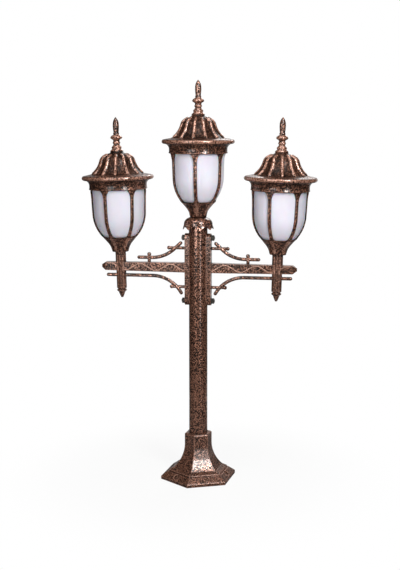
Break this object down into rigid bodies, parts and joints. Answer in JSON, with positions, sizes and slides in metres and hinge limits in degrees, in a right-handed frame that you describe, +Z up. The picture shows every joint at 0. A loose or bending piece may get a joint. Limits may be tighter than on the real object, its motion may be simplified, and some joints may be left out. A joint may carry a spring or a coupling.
{
  "type": "outdoor post light",
  "caption": "Outdoor post light: flared hexagonal base, round post and scrolled bracket arms carrying opal bell lanterns under ridged roofs with screw-on finials.",
  "frame": {"origin": "centre of the base casting's underside, on the post's axis", "axes": "+Z up along the post, X along the two arms, -Y towards the front"},
  "size_m": [0.633, 0.2096, 1.0828],
  "materials": {
    "cast_copper": "cast aluminium, dark brown coat with rubbed antique copper on the raised places",
    "post_copper": "steel tube, dark brown coat with speckled antique copper",
    "opal_glass": "satin white opal",
    "dark_steel": "blackened steel",
    "zinc_steel": "zinc-plated steel",
    "porcelain": "glazed porcelain",
    "bulb_glass": "frosted white",
    "bulb_cap": "nickel-plated brass thread",
    "gasket_rubber": "matt black",
    "terminal_plastic": "moulded, matt"
  },
  "bodies": {
    "column": {"base_casting": "cast_copper", "bridge_nuts": "zinc_steel", "bridge_screws": "zinc_steel", "clamp_nuts": "dark_steel", "clamp_studs": "dark_steel", "clamp_washers": "dark_steel", "leaf_collar": "cast_copper", "left_arm_bar": "cast_copper", "left_arm_stem": "cast_copper", "left_cage": "cast_copper", "left_diffuser": "opal_glass", "left_lampholder": "porcelain", "left_lower_link": "cast_copper", "left_lower_scroll": "cast_copper", "left_saddle_plate": "cast_copper", "left_scroll_peg": "cast_copper", "left_stem_pendant": "cast_copper", "left_upper_link": "cast_copper", "left_upper_scroll": "cast_copper", "middle_cage": "cast_copper", "middle_diffuser": "opal_glass", "middle_lampholder": "porcelain", "nipple_nuts": "zinc_steel", "post_cap": "cast_copper", "post_grub_screws": "dark_steel", "post_tube": "post_copper", "right_arm_bar": "cast_copper", "right_arm_stem": "cast_copper", "right_cage": "cast_copper", "right_diffuser": "opal_glass", "right_lampholder": "porcelain", "right_lower_link": "cast_copper", "right_lower_scroll": "cast_copper", "right_saddle_plate": "cast_copper", "right_scroll_peg": "cast_copper", "right_stem_pendant": "cast_copper", "right_upper_link": "cast_copper", "right_upper_scroll": "cast_copper", "roof_bolts": "zinc_steel", "roof_bridges": "zinc_steel", "roof_gaskets": "gasket_rubber", "terminal_block": "terminal_plastic", "wire_nipples": "zinc_steel"},
    "middle_roof": {"middle_roof": "cast_copper"},
    "middle_finial": {"middle_finial": "cast_copper"},
    "middle_bulb": {"middle_bulb_cap": "bulb_cap", "middle_bulb_glass": "bulb_glass"},
    "left_roof": {"left_roof": "cast_copper"},
    "left_finial": {"left_finial": "cast_copper"},
    "left_bulb": {"left_bulb_cap": "bulb_cap", "left_bulb_glass": "bulb_glass"},
    "right_roof": {"right_roof": "cast_copper"},
    "right_finial": {"right_finial": "cast_copper"},
    "right_bulb": {"right_bulb_cap": "bulb_cap", "right_bulb_glass": "bulb_glass"}
  },
  "joints": [
    {"name": "middle_roof_lift", "type": "slide", "parent": "column", "child": "middle_roof", "axis": [0, 0, 1], "range_m": [0, 0.13]},
    {"name": "middle_finial_turn", "type": "hinge", "parent": "middle_roof", "child": "middle_finial", "pos_m": [0, 0, 0.722], "axis": [0, 0, 1], "range_deg": [0, 4320]},
    {"name": "middle_bulb_turn", "type": "hinge", "parent": "column", "child": "middle_bulb", "pos_m": [0, 0, 0.722], "axis": [0, 0, 1], "range_deg": [0, 1800]},
    {"name": "left_roof_lift", "type": "slide", "parent": "column", "child": "left_roof", "axis": [-0.0265, 0, 0.9996], "range_m": [0, 0.13]},
    {"name": "left_finial_turn", "type": "hinge", "parent": "left_roof", "child": "left_finial", "pos_m": [-0.21426, 0, 0.62539], "axis": [-0.0265, 0, 0.9996], "range_deg": [0, 4320]},
    {"name": "left_bulb_turn", "type": "hinge", "parent": "column", "child": "left_bulb", "pos_m": [-0.21426, 0, 0.62539], "axis": [-0.0265, 0, 0.9996], "range_deg": [0, 1800]},
    {"name": "right_roof_lift", "type": "slide", "parent": "column", "child": "right_roof", "axis": [0.0265, 0, 0.9996], "range_m": [0, 0.13]},
    {"name": "right_finial_turn", "type": "hinge", "parent": "right_roof", "child": "right_finial", "pos_m": [0.21426, 0, 0.62539], "axis": [0.0265, 0, 0.9996], "range_deg": [0, 4320]},
    {"name": "right_bulb_turn", "type": "hinge", "parent": "column", "child": "right_bulb", "pos_m": [0.21426, 0, 0.62539], "axis": [0.0265, 0, 0.9996], "range_deg": [0, 1800]}
  ]
}
